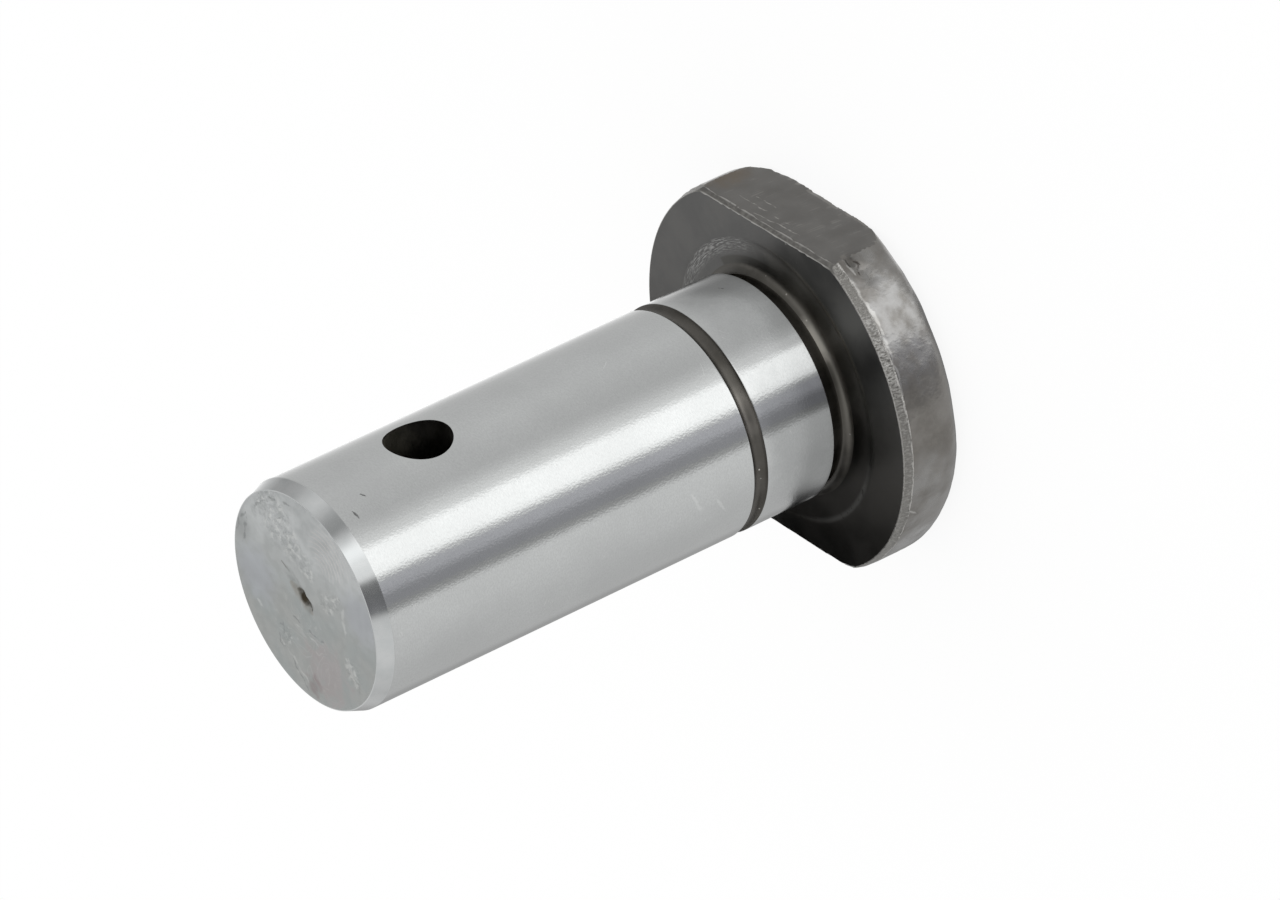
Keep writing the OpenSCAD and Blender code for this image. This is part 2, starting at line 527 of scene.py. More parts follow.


# Ground shank: bright, with a fine grain round it, faint clouds, and a few nicks and scratches, and
# painted shade towards the head
ground, tree, shader, mm = finish_steel("ground_steel")
clouds = add_mask(tree, blotches, mm, Scale=0.12, Low=0.3, High=0.7)
grain = add_mask(tree, blotches, mm, Scale=3.2, Stretch=2, Low=0.25, High=0.75, Detail=2)
rings = add_mask(tree, blotches, mm, Scale=0.15, Stretch=45, Low=0.2, High=0.8, Detail=2)
sparkle = add_mask(tree, blotches, mm, Scale=4, Stretch=0.7, Low=0.3, High=0.7, Detail=1)
specks = add_mask(tree, dots, mm, Scale=0.6, Size=0.1, Cover=0.09)
marks = add_mask(tree, hairs, mm, Scale=3, Turn=0.7, Stretch=14, Width=0.012, Cover=0.56)
nicks = draw_strokes(tree, mm, (
    (on_shank(253.0, 69.6), on_shank(250.2, 69.2), 0.15),
    (on_shank(246.6, 71.9), on_shank(240.8, 71.7), 0.17),
    (on_shank(277.0, 14.6), on_shank(274.8, 14.3), 0.2)), 2.4, grain=3.0, bend=0.5)
scratches = draw_strokes(tree, mm, (
    (on_shank(240, 24.3), on_shank(233, 24.8), 0.12),
    (on_shank(184, 31.8), on_shank(166, 29.9), 0.3),
    (on_shank(176, 28.4), on_shank(165, 27.0), 0.25),
    (on_shank(262, 33.5), on_shank(257, 35.5), 0.14)), 1.2, grain=1.2)
colour = tint(tree, clouds, (0.41, 0.419, 0.415, 1), (0.442, 0.452, 0.448, 1))
colour = lay_on(tree, colour, grain, 0.4, (0.35, 0.355, 0.355, 1))
# Between the groove and the head it is darkened with painted shade, most of all on its two sides and in
# a patch by the neck
_, _, up = measure(tree, mm)
painted_shade_by_head = soft_step(tree, up, 22.5, 19)
colour = lay_on(tree, colour, painted_shade_by_head, 0.16, (0.28, 0.285, 0.285, 1))
one_side = add_mask(tree, patch, mm, X=-13.6, Y=-2.4, Z=15, Reach=10, Ragged=0.4)
other_side = add_mask(tree, patch, mm, X=1.2, Y=-13.9, Z=15, Reach=11, Ragged=0.4)
painted_shade_sides = either(tree, one_side, times(tree, other_side, 0.6))
colour = lay_on(tree, colour, painted_shade_sides, times(tree, painted_shade_by_head, 0.5), (0.22, 0.225, 0.225, 1))
# Painted shade: a darker patch by the neck
painted_shade_near_neck = add_mask(tree, patch, mm, X=7.5, Y=-11.8, Z=12, Reach=13, Ragged=0.2)
colour = lay_on(tree, colour, painted_shade_near_neck, times(tree, painted_shade_by_head, 0.75), (0.14, 0.142, 0.14, 1))
colour = lay_on(tree, colour, specks, 0.5, (0.15, 0.14, 0.13, 1))
colour = lay_on(tree, colour, marks, 0.25, (0.58, 0.58, 0.57, 1))
colour = lay_on(tree, colour, scratches, 0.22, (0.66, 0.67, 0.66, 1))
colour = lay_on(tree, colour, nicks, 0.85, (0.1, 0.1, 0.1, 1))
paint_colour(tree, shader, colour)
roughen(tree, shader, 0.13, 0.17, grain)
round_it = place(tree, "Tangent", direction_type="RADIAL", axis="Z")
tree.links.new(round_it.outputs[0], shader.inputs["Tangent"])
shader.inputs["Anisotropic"].default_value = 0.8
shader.inputs["Anisotropic Rotation"].default_value = 0.25
height = work_out(tree, "ADD", times(tree, rings, 0.6), times(tree, grain, 0.4))
height = work_out(tree, "ADD", height, times(tree, sparkle, 1.4))
height = work_out(tree, "SUBTRACT", height, times(tree, nicks, 15))
emboss(tree, shader, height, 0.002)

# Lead-in chamfer: turned, smoother than the shank and without its grain
lead_cut, tree, shader, mm = finish_steel("lead_chamfer_steel")
clouds = add_mask(tree, blotches, mm, Scale=0.35)
rings = add_mask(tree, blotches, mm, Scale=0.3, Stretch=14, Low=0.3, High=0.7, Detail=2)
paint_colour(tree, shader, tint(tree, clouds, (0.47, 0.485, 0.485, 1), (0.52, 0.53, 0.53, 1)))
roughen(tree, shader, 0.13, 0.18, clouds)
emboss(tree, shader, rings, 0.0006)

end_mm = end_z / MM


def on_end(x, y):
    return (x, y, end_mm)


# End face: sheared and left as it is, matt, cloudy and scuffed, with dirt in the dent of the shears
end_steel, tree, shader, mm = finish_steel("end_face_steel")
parts = place(tree, "SeparateXYZ", {"Vector": mm})
# Painted light: the end face is drawn lighter across it, towards the flat at minus Y
painted_light_to_front = soft_step(tree, parts.outputs["Y"], 3, -8)
clouds = add_mask(tree, blotches, mm, Scale=0.2, Low=0.38, High=0.6)
lumps = add_mask(tree, blotches, mm, Scale=1.25, Low=0.5, High=0.64, Detail=6)
pits = add_mask(tree, blotches, mm, Scale=1.25, Low=0.5, High=0.38, Detail=6)
wear = add_mask(tree, blotches, mm, Scale=0.7, Low=0.4, High=0.64, Detail=8)
torn = draw_strokes(tree, mm, (
    (on_end(7.8, -9.2), on_end(2.4, -9.8), 5.0),
    (on_end(4.8, -9.0), on_end(0.0, -5.6), 3.5),
    (on_end(0.6, -6.2), on_end(-1.6, -3.8), 2.2),
    (on_end(-3.4, -0.6), on_end(-6.6, -3.2), 1.7),
    (on_end(4.2, 5.8), on_end(5.4, 8.2), 1.7),
    (on_end(-7.4, 4.4), on_end(-9.0, 7.6), 1.7)), 1.7, grain=0.5)
curls = draw_strokes(tree, mm, (
    (on_end(-7.4, -2.4), on_end(-7.2, 1.2), 0.42),
    (on_end(-7.1, 4.0), on_end(-8.4, 7.4), 0.6),
    (on_end(-8.0, 6.0), on_end(-9.6, 6.8), 0.5),
    (on_end(4.7, 8.3), on_end(0.2, 12.0), 0.26),
    (on_end(9.4, 4.4), on_end(8.7, 4.9), 0.6),
    (on_end(2.6, 4.1), on_end(-1.8, 5.1), 0.24)), 1.8, grain=1.2, bend=1.4)
curls = times(tree, curls, 0.7)
thin_lines = draw_strokes(tree, mm, (
    (on_end(2.8, 3.4), on_end(0.2, 3.9), 0.2),
    (on_end(0.4, 3.8), on_end(-2.4, 4.5), 0.22),
    (on_end(-2.2, 4.5), on_end(-3.3, 3.6), 0.18),
    (on_end(6.5, 6.0), on_end(4.8, 5.6), 0.24),
    (on_end(4.9, 5.4), on_end(4.9, 6.8), 0.22),
    (on_end(6.0, 6.6), on_end(5.8, 8.2), 0.24),
    (on_end(5.8, 8.2), on_end(4.6, 8.5), 0.2),
    (on_end(4.1, 9.1), on_end(1.0, 12.3), 0.2)), 1.4, grain=1.5, bend=1.4)
from_ripples = place(tree, "VectorMath", {0: mm, 1: on_end(-3.2, -5.6)}, operation="DISTANCE")
ripples = work_out(tree, "SINE", times(tree, from_ripples.outputs["Value"], 9.5))
ripples = soft_step(tree, ripples, 0.0, 1.0)
rippled = add_mask(tree, patch, mm, X=-5.6, Y=-8.6, Z=end_mm, Reach=4.6, Ragged=0.8)
ripples = times(tree, ripples, rippled)
flow = place(tree, "TexNoise", {"Vector": mm, "Scale": 0.13, "Detail": 3, "Distortion": 1.4})
swirls = soft_step(tree, work_out(tree, "SINE", times(tree, flow.outputs["Fac"], 70)), 0.75, 1.0)
swirled = add_mask(tree, patch, mm, X=1.0, Y=6.5, Z=end_mm, Reach=8, Ragged=1.4)
swirls = times(tree, swirls, swirled)
dark_rim = draw_strokes(tree, mm, (
    (on_end(10.2, -6.6), on_end(10.6, -4.2), 0.3),
    (on_end(10.6, -4.4), on_end(11.7, -2.5), 0.3),
    (on_end(10.3, -7.0), on_end(11.6, -5.4), 0.3),
    (on_end(11.6, -5.6), on_end(12.3, -3.6), 0.3),
    (on_end(9.0, -8.1), on_end(6.5, -10.3), 0.3),
    (on_end(6.6, -10.2), on_end(3.6, -11.7), 0.3),
    (on_end(3.8, -11.6), on_end(0.8, -12.1), 0.26)), 2.2, grain=1.5, bend=1.2)
chip = add_mask(tree, patch, mm, X=11.4, Y=-4.9, Z=end_mm, Reach=2.6, Ragged=1.2)
crack = draw_strokes(tree, mm, ((on_end(4.0, -3.4), on_end(0.6, -0.3), 0.42),), 0.7, grain=1.2, bend=0.3)
seam = draw_strokes(tree, mm, ((on_end(1.6, -1.1), on_end(-0.9, 0.8), 0.9),), 0.3, grain=1.0, bend=0.2)
rust = draw_strokes(tree, mm, ((on_end(2.5, -1.2), on_end(-1.0, 1.2), 1.1),), 1.0, grain=1.0, bend=0.3)
rosy = add_mask(tree, patch, mm, X=-3.0, Y=8.2, Z=end_mm, Reach=5.2, Ragged=1.6)
blue_front = add_mask(tree, patch, mm, X=9.4, Y=0.6, Z=end_mm, Reach=5, Ragged=0.8)
blue_rear = add_mask(tree, patch, mm, X=-10.8, Y=-2.6, Z=end_mm, Reach=4.6, Ragged=0.8)
blue = either(tree, blue_front, blue_rear)
ruddy = add_mask(tree, patch, mm, X=-0.2, Y=11.3, Z=end_mm, Reach=1.7, Ragged=1.8)
colour = tint(tree, clouds, (0.34, 0.36, 0.355, 1), (0.42, 0.43, 0.42, 1))
colour = tint(tree, painted_light_to_front, colour, (0.5, 0.515, 0.515, 1))
colour = lay_on(tree, colour, wear, 0.22, (0.29, 0.305, 0.3, 1))
colour = lay_on(tree, colour, blue, 0.6, (0.42, 0.435, 0.465, 1))
colour = lay_on(tree, colour, rosy, 0.55, (0.385, 0.34, 0.34, 1))
colour = lay_on(tree, colour, ruddy, 0.5, (0.24, 0.19, 0.19, 1))
torn_lumps = times(tree, lumps, torn)
torn_pits = times(tree, pits, torn)
light_marks = either(tree, torn_lumps, curls)
light_marks = either(tree, light_marks, times(tree, swirls, 0.3))
colour = lay_on(tree, colour, light_marks, 0.55, (0.64, 0.65, 0.635, 1))
colour = lay_on(tree, colour, torn_pits, 0.24, (0.25, 0.265, 0.26, 1))
colour = lay_on(tree, colour, ripples, 0.6, (0.6, 0.58, 0.57, 1))
colour = lay_on(tree, colour, chip, 0.35, (0.27, 0.28, 0.28, 1))
dark_marks = either(tree, dark_rim, thin_lines)
colour = lay_on(tree, colour, dark_marks, 0.5, (0.2, 0.21, 0.21, 1))
colour = lay_on(tree, colour, rust, 0.4, (0.27, 0.235, 0.19, 1))
colour = lay_on(tree, colour, crack, 0.7, (0.14, 0.14, 0.12, 1))
colour = tint(tree, soft_step(tree, seam, 0.0, 0.6), colour, (0.05, 0.042, 0.03, 1))
paint_colour(tree, shader, colour)
roughen(tree, shader, 0.4, 0.56, clouds)
fine_relief = work_out(tree, "ADD", times(tree, ripples, 0.5), times(tree, wear, 0.25))
sunk = either(tree, times(tree, torn_pits, 0.7), crack)
height = work_out(tree, "SUBTRACT", work_out(tree, "ADD", torn_lumps, fine_relief), sunk)
emboss(tree, shader, height, 0.06)

# Groove and hole, and the fillet by the head: turned or drilled, dark with oil and scale
dark_cut, tree, shader, mm = finish_steel("dark_cut_steel")
clouds = add_mask(tree, blotches, mm, Scale=0.3)
rings = add_mask(tree, blotches, mm, Scale=0.3, Stretch=20, Low=0.2, High=0.8, Detail=2)
specks = add_mask(tree, dots, mm, Scale=0.8, Size=0.12, Cover=0.45)
colour = tint(tree, clouds, (0.072, 0.068, 0.06, 1), (0.1, 0.095, 0.086, 1))
# A painted highlight in the groove, on the side towards the light
painted_highlight_in_groove = add_mask(tree, patch, mm, X=-11.9, Y=-6.2, Z=22, Reach=4.2, Ragged=0.8)
colour = lay_on(tree, colour, painted_highlight_in_groove, 0.5, (0.25, 0.237, 0.215, 1))
# Painted light: the wall of the hole is lighter just inside its mouth
painted_light_near_mouth = add_mask(tree, patch, mm, X=3.7, Y=-11.3, Z=60, Reach=4.4, Ragged=0.6)
colour = lay_on(tree, colour, painted_light_near_mouth, 0.8, (0.42, 0.4, 0.33, 1))
colour = lay_on(tree, colour, specks, 0.8, (0.75, 0.73, 0.68, 1))
out, _, up = measure(tree, mm)
# Painted light on the outer part of the fillet, on the near side
painted_light_by_neck = times(tree, soft_step(tree, out, 13.2, 14.1), soft_step(tree, up, 11, 10))
painted_light_side = add_mask(tree, patch, mm, X=-11, Y=-8.5, Z=9.3, Reach=18, Ragged=0.3)
colour = lay_on(tree, colour, painted_light_by_neck, painted_light_side, (0.31, 0.294, 0.263, 1))
# A painted highlight on the fillet
rub_wear_and_painted_highlight = add_mask(tree, patch, mm, X=-9.2, Y=-9.8, Z=9.3, Reach=3.6, Ragged=0.8)
colour = lay_on(tree, colour, rub_wear_and_painted_highlight, 0.72, (0.3, 0.287, 0.256, 1))
paint_colour(tree, shader, colour)
roughen(tree, shader, 0.36, 0.46, clouds)
emboss(tree, shader, rings, 0.004)

# Neck: the darkest cut, its colour darkened with painted shade for the shadow between the shank and the
# head
neck_cut, tree, shader, mm = finish_steel("neck_steel")
clouds = add_mask(tree, blotches, mm, Scale=0.3)
paint_colour(tree, shader, tint(tree, clouds, (0.03, 0.028, 0.024, 1), (0.045, 0.042, 0.037, 1)))
roughen(tree, shader, 0.36, 0.5, clouds)
shader.inputs["Specular Tint"].default_value = (0.3, 0.29, 0.27, 1)

# A thin bright line along an edge, partly wear and partly a painted highlight, whose place in the
# section is Edge Across and Edge Up
wear_and_highlight_line, given, outlet = open_group("wear_and_highlight_line", {
    "Across": 0, "Up": 0, "Edge Across": 20, "Edge Up": 8.5, "Width": 0.12, "Wobble": 0, "Broken": 0.4})
drift = place(wear_and_highlight_line, "TexNoise", {"Vector": given["Place"], "Scale": 0.8, "Detail": 3})
stray = times(wear_and_highlight_line, work_out(wear_and_highlight_line, "SUBTRACT", drift.outputs["Fac"], 0.5),
                 given["Wobble"])
off_up = work_out(wear_and_highlight_line, "SUBTRACT", work_out(wear_and_highlight_line, "ADD", given["Up"], stray),
                  given["Edge Up"])
off_across = work_out(wear_and_highlight_line, "SUBTRACT", given["Across"], given["Edge Across"])
squares = work_out(wear_and_highlight_line, "ADD", times(wear_and_highlight_line, off_up, off_up),
                   times(wear_and_highlight_line, off_across, off_across))
line = soft_step(wear_and_highlight_line, work_out(wear_and_highlight_line, "SQRT", squares), given["Width"], 0.0)
gaps = place(wear_and_highlight_line, "TexNoise", {"Vector": given["Place"], "Scale": 1.6, "Detail": 4})
kept = soft_step(wear_and_highlight_line, gaps.outputs["Fac"], times(wear_and_highlight_line, given["Broken"], 0.8), given["Broken"])
wear_and_highlight_line.links.new(times(wear_and_highlight_line, line, kept), outlet.inputs["Mask"])

# Front face of the head: smooth and dark, with a ring scuffed bright by what turned against it
face_steel, tree, shader, mm = finish_steel("head_face_steel")
out, _, up = measure(tree, mm)
clouds = add_mask(tree, blotches, mm, Scale=0.2, Low=0.36, High=0.64, Detail=6)
specks = add_mask(tree, dots, mm, Scale=0.5, Size=0.09, Cover=0.12)
round_it = azimuth_of(tree, mm)
polar = place(tree, "CombineXYZ", {"X": times(tree, out, 8), "Y": times(tree, round_it, 14)})
arcs = add_mask(tree, blotches, polar.outputs[0], Scale=1, Low=0.42, High=0.64, Detail=6)
rub_wear_and_painted_highlight = times(tree, soft_step(tree, out, 15.2, 16.6), soft_step(tree, out, 17.6, 17.2))
one_side = add_mask(tree, patch, mm, X=11.5, Y=-12, Z=9, Reach=12, Ragged=0.9)
ring = times(tree, times(tree, rub_wear_and_painted_highlight, one_side), arcs)
lip = add_mask(tree, wear_and_highlight_line, mm, Across=out, Up=up, **{
    "Edge Across": 17.3, "Edge Up": 8.95, "Width": 0.55})
lip_side = add_mask(tree, patch, mm, X=-12.5, Y=12, Z=9, Reach=13, Ragged=0.5)
lip = times(tree, lip, times(tree, lip_side, 0.22))
shaded = add_mask(tree, patch, mm, X=-14, Y=10, Z=9, Reach=26, Ragged=0.2)
colour = tint(tree, clouds, (0.09, 0.089, 0.087, 1), (0.122, 0.12, 0.116, 1))
colour = lay_on(tree, colour, shaded, 0.78, (0.044, 0.041, 0.036, 1))
# Painted sheen: the bright shank's reflection on the face
sheen = add_mask(tree, patch, mm, X=-15, Y=-15, Z=9, Reach=4.0, Ragged=0.6)
colour = lay_on(tree, colour, sheen, 0.45, (0.19, 0.187, 0.178, 1))
# Painted light: the shank's reflection on the turned face by the neck and at its step, on the near side
turned_face = times(tree, soft_step(tree, out, 18.2, 17.6), 0.62)
step = soft_step(tree, work_out(tree, "ABSOLUTE", work_out(tree, "SUBTRACT", out, 17.5)), 0.5, 0.1)
painted_light_by_neck = either(tree, soft_step(tree, out, 15.4, 14.2), turned_face)
painted_light_by_neck = either(tree, painted_light_by_neck, step)
painted_light_side = add_mask(tree, patch, mm, X=-10.5, Y=-12.5, Z=9, Reach=14, Ragged=0.3)
colour = lay_on(tree, colour, painted_light_by_neck, times(tree, painted_light_side, 0.95), (0.32, 0.305, 0.275, 1))
# Darker in a wedge by the neck on the upper side
darker_wedge_by_neck = times(tree, soft_step(tree, round_it, math.radians(-53), math.radians(-55.5)),
               soft_step(tree, round_it, math.radians(-105), math.radians(-85)))
darker_wedge_by_neck = times(tree, darker_wedge_by_neck, soft_step(tree, out, 15.4, 15.1))
colour = lay_on(tree, colour, darker_wedge_by_neck, 0.55, (0.05, 0.047, 0.038, 1))
# Painted shade darkens the tip of the face at plus Y
painted_shade_tip = add_mask(tree, patch, mm, X=-4, Y=18.5, Z=9, Reach=7, Ragged=0.4)
colour = lay_on(tree, colour, painted_shade_tip, 0.7, (0.015, 0.013, 0.01, 1))
colour = tint(tree, either(tree, times(tree, ring, 0.6), lip), colour, (0.4, 0.4, 0.39, 1))
colour = lay_on(tree, colour, specks, 0.8, (0.5, 0.5, 0.48, 1))
paint_colour(tree, shader, colour)
roughen(tree, shader, 0.34, 0.44, clouds)
emboss(tree, shader, ring, 0.02)

# Sides and back of the head: the forged skin, smooth and mottled, and silvery in patches where it stands
# proud, partly wear and partly painted highlight
skin, tree, shader, mm = finish_steel("forged_skin")
clouds = add_mask(tree, blotches, mm, Scale=0.2, Low=0.36, High=0.64)
fine = add_mask(tree, blotches, mm, Scale=1.4, Low=0.38, High=0.7, Detail=5)
rubs = add_mask(tree, blotches, mm, Scale=0.35, Stretch=1.2, Low=0.3, High=0.64, Detail=6)
proud = add_mask(tree, patch, mm, X=-18, Y=-15.5, Z=5.5, Reach=11, Ragged=0.8)
proud_low = add_mask(tree, patch, mm, X=-23, Y=6, Z=6.5, Reach=7, Ragged=1.0)
proud_end = add_mask(tree, patch, mm, X=-18.6, Y=14.7, Z=5, Reach=5, Ragged=1.0)
all_proud = either(tree, proud, times(tree, proud_low, 0.6))
all_proud = either(tree, all_proud, proud_end)
skin_wear_and_painted_highlight = times(tree, rubs, all_proud)


def on_side(azimuth, height):
    return on_round(23.7, azimuth, height)


lap = draw_strokes(tree, mm, (
    (on_side(240.5, 6.5), on_side(236.5, 5.7), 0.3),
    (on_side(237.5, 5.8), on_side(233.5, 6.3), 0.26)), 1.2, grain=1.6)
painted_highlight_on_lap_edge = draw_strokes(tree, mm, (
    (on_side(240.5, 7.0), on_side(234.0, 6.8), 0.28),
    (on_side(236.5, 8.1), on_side(227.0, 7.6), 0.45),
    (on_side(228.5, 7.6), on_side(217.0, 7.5), 0.42),
    (on_side(218.5, 7.5), on_side(208.0, 7.7), 0.36),
    (on_side(210.0, 7.7), on_side(199.0, 7.7), 0.26),
    (on_side(161.0, 7.9), on_side(157.5, 6.6), 0.22)), 1.8, grain=1.1)
colour = tint(tree, clouds, (0.13, 0.123, 0.113, 1), (0.165, 0.158, 0.148, 1))
colour = lay_on(tree, colour, fine, 0.22, (0.21, 0.2, 0.185, 1))
colour = lay_on(tree, colour, skin_wear_and_painted_highlight, 0.6, (0.3, 0.302, 0.302, 1))
# A painted highlight along the ridge by the lap
colour = lay_on(tree, colour, painted_highlight_on_lap_edge, 0.5, (0.46, 0.455, 0.44, 1))
# Painted shade: the lap is drawn dark in its crease
colour = lay_on(tree, colour, lap, 0.8, (0.035, 0.03, 0.026, 1))
paint_colour(tree, shader, colour)
roughen(tree, shader, 0.31, 0.22, either(tree, skin_wear_and_painted_highlight, times(tree, clouds, 0.4)))
height = work_out(tree, "ADD", times(tree, fine, 0.4), times(tree, painted_highlight_on_lap_edge, 0.6))
emboss(tree, shader, work_out(tree, "SUBTRACT", height, lap), 0.03)

# Flats: milled, with fine lengthwise scratches
milled, tree, shader, mm = finish_steel("milled_flat_steel")
clouds = add_mask(tree, blotches, mm, Scale=0.25)
marks = add_mask(tree, hairs, mm, Scale=1.8, Turn=1.5, Stretch=24, Width=0.03, Cover=0.5)
lines = draw_strokes(tree, mm, (
    ((7.4, -20.5, 6.8), (-2.2, -20.5, 6.7), 0.12),
    ((3.0, -20.5, 8.0), (-4.6, -20.5, 7.3), 0.12),
    ((6.0, -20.5, 5.6), (1.0, -20.5, 5.4), 0.1)), 1.4, grain=0.8)
colour = tint(tree, clouds, (0.108, 0.104, 0.098, 1), (0.135, 0.131, 0.124, 1))
brown = add_mask(tree, patch, mm, X=12.6, Y=-20.5, Z=5, Reach=4.5, Ragged=0.8)
colour = lay_on(tree, colour, brown, 0.65, (0.125, 0.1, 0.074, 1))
colour = lay_on(tree, colour, marks, 0.3, (0.26, 0.25, 0.235, 1))
colour = lay_on(tree, colour, lines, 0.7, (0.34, 0.33, 0.31, 1))
paint_colour(tree, shader, colour)
roughen(tree, shader, 0.36, 0.44, clouds)
emboss(tree, shader, marks, 0.005)

# Chamfers of the flats: cut clean, with both edges drawn as bright lines, partly wear and partly painted
# highlight
chamfered, tree, shader, mm = finish_steel("chamfer_steel")
_, across, up = measure(tree, mm)
fine = add_mask(tree, blotches, mm, Scale=1.6, Low=0.4, High=0.7, Detail=5)
front = add_mask(tree, wear_and_highlight_line, mm, Across=across, Up=up, **{
    "Edge Across": 20.0, "Edge Up": 9.0, "Width": 0.18, "Broken": 0.3})
rear = add_mask(tree, wear_and_highlight_line, mm, Across=across, Up=up, **{
    "Edge Across": 20.5, "Edge Up": 8.5, "Width": 0.16})
colour = tint(tree, fine, (0.15, 0.145, 0.137, 1), (0.22, 0.214, 0.2, 1))
bright_lines = either(tree, front, times(tree, rear, 0.8))
colour = tint(tree, bright_lines, colour, (0.52, 0.51, 0.49, 1))
paint_colour(tree, shader, colour)
roughen(tree, shader, 0.34, 0.42, fine)
emboss(tree, shader, fine, 0.01)

# Trimmed edge of the round sides: sheared off after forging, so torn along the axis and bright
trimmed, tree, shader, mm = finish_steel("trimmed_edge_steel")
out, _, up = measure(tree, mm)
tears = add_mask(tree, blotches, mm, Scale=4.5, Stretch=0.4, Low=0.36, High=0.74, Detail=6)
burr = add_mask(tree, wear_and_highlight_line, mm, Across=out, Up=up, **{
    "Edge Across": 23.7, "Edge Up": 7.85, "Width": 0.2, "Wobble": 0.9})
front = add_mask(tree, wear_and_highlight_line, mm, Across=out, Up=up, **{
    "Edge Across": 23.4, "Edge Up": 9.0, "Width": 0.16})
colour = tint(tree, tears, (0.165, 0.16, 0.15, 1), (0.29, 0.284, 0.268, 1))
# A painted highlight on the trimmed edge, on the side facing the light
rub_wear_and_painted_highlight = add_mask(tree, patch, mm, X=-19.6, Y=-13.0, Z=8.5, Reach=6.5, Ragged=1.0)
colour = lay_on(tree, colour, rub_wear_and_painted_highlight, times(tree, tears, 0.8), (0.46, 0.455, 0.44, 1))
colour = lay_on(tree, colour, either(tree, burr, front), 0.8, (0.5, 0.49, 0.47, 1))
paint_colour(tree, shader, colour)
roughen(tree, shader, 0.34, 0.46, tears)
emboss(tree, shader, work_out(tree, "ADD", tears, burr), 0.05)

finishes = (ground, lead_cut, end_steel, dark_cut, neck_cut,
            face_steel, skin, milled, chamfered, trimmed)
for finish in finishes:
    pin.data.materials.append(finish)


def finish_at(middle, normal):
    """Which finish a face of the pin has, by where it is."""
    r = radius_of(middle)
    in_hole = r < shank_r - 0.3 * MM and abs(middle.z - hole_z) < hole_r
    if in_hole and abs(normal.z) + abs(normal.x) > 0.9:
        return dark_cut
    if middle.z > end_z - 0.9 * MM and r < face_r - edge_soft:
        return end_steel
    if middle.z > end_z - lead_l:
        return lead_cut
    if middle.z > groove_z + groove_half_w:
        return ground
    if middle.z > groove_z - groove_half_w:
        return dark_cut
    if middle.z > neck_top_z:
        return ground
    if r < neck_r + neck_fillet_r and middle.z > 5 * MM:
        return neck_cut if middle.z > spot_z + 0.62 * neck_fillet_r else dark_cut
    if normal.z > 0.95 or r < spot_r + 0.2 * MM and middle.z > 5 * MM:
        return face_steel
    by_front_edge = abs(middle.y) > flat_y - 0.7 * MM and middle.z > head_t - 0.8 * MM
    if by_front_edge and abs(normal.y) > 0.5 and normal.z > 0.5:
        return chamfered
    if abs(normal.y) > 0.98 and abs(middle.y) > flat_y - 0.4 * MM:
        return milled
    if middle.z > head_t - strip_l - 0.12 * MM and r > strip_r - 0.2 * MM:
        return trimmed
    return skin


for face in pin.data.polygons:
    face.material_index = finishes.index(finish_at(face.center, face.normal))

# THE FLOOR
# The pin stands on a plain pale floor. The camera sees it nearly as white as the room behind it,
# with the soft shadow of the pin, and reflections don't see it.
deselect_objects()
bpy.ops.mesh.primitive_plane_add(size=4, location=(0, 0, 0))
floor = bpy.context.object
floor.name = "floor"
floor.visible_glossy = False
paint = bpy.data.materials.new("floor_paint")
paint.use_nodes = True
floor.data.materials.append(paint)
tree = paint.node_tree
tree.nodes.clear()
# Most of the floor's white is its own, so that the shadow stays faint
own_white = 0.88
matt = place(tree, "BsdfDiffuse", {"Color": (0.85, 0.85, 0.85, 1)})
white = place(tree, "Emission", {"Strength": 1.02})
ray = place(tree, "LightPath")
seen = times(tree, ray.outputs["Is Camera Ray"], own_white)
mixed = place(tree, "MixShader", {0: seen, 1: matt.outputs[0], 2: white.outputs[0]})
place(tree, "OutputMaterial", {"Surface": mixed.outputs[0]})

# THE STUDIO LIGHT
# Reflections meet a room of soft boxes and dark gaps, whose brightness depends on the direction alone
brightest = 2.55
# Azimuth in degrees, and how bright the room is that way: low down, and above the horizon
low_bands = (
    (-180, 0.51), (-171.5, 0.51), (-164, 0.82), (-157, 0.82), (-154, 1.0), (-150, 1.98), (-145, 2.2),
    (-125, 2.24), (-120.5, 1.46), (-117, 1.33), (-113, 1.33), (-109, 1.12), (-98, 0.93), (-60, 1.03),
    (0, 0.83), (10, 0.93), (17, 1.0), (26, 1.38), (34, 1.4), (42, 0.38), (60, 0.47), (74, 0.74),
    (95, 0.87), (150, 1.13), (169.5, 1.18), (175.5, 0.62), (180, 0.51))
high_bands = (
    (-180, 0.25), (-152, 0.25), (-148, 1.3), (-132, 1.45), (-125, 1.8), (-119, 1.8), (-110, 1.1),
    (-98, 0.5), (-88, 0.53), (-66, 0.98), (-54, 0.9), (-40, 0.62), (-10, 0.42), (20, 0.9), (60, 0.95),
    (90, 0.72), (125, 0.95), (150, 1.02), (174, 0.95), (180, 0.28))


def paint_bands(tree, azimuth, bands):
    """Puts out the colour of the bands at an azimuth in radians: the gap by the boxes is bluish."""
    share = place(tree, "MapRange", {"Value": azimuth, "From Min": -math.pi, "From Max": math.pi})
    ramp = place(tree, "ValToRGB", {"Fac": share.outputs[0]})
    stops = ramp.color_ramp.elements
    for angle, level in bands[1:-1]:
        stops.new((angle + 180) / 360)
    for stop, (angle, level) in zip(stops, bands):
        blue = 1.06 if angle < -155 else 1.0
        stop.position = (angle + 180) / 360
        stop.color = (level / brightest, level / brightest, level * blue / brightest, 1)
    return ramp.outputs["Color"]


def once_round(tree, azimuth):
    """Brings an azimuth back between half a turn either way."""
    return place(tree, "Math", {0: azimuth, 1: math.pi, 2: -math.pi}, operation="WRAP").outputs[0]


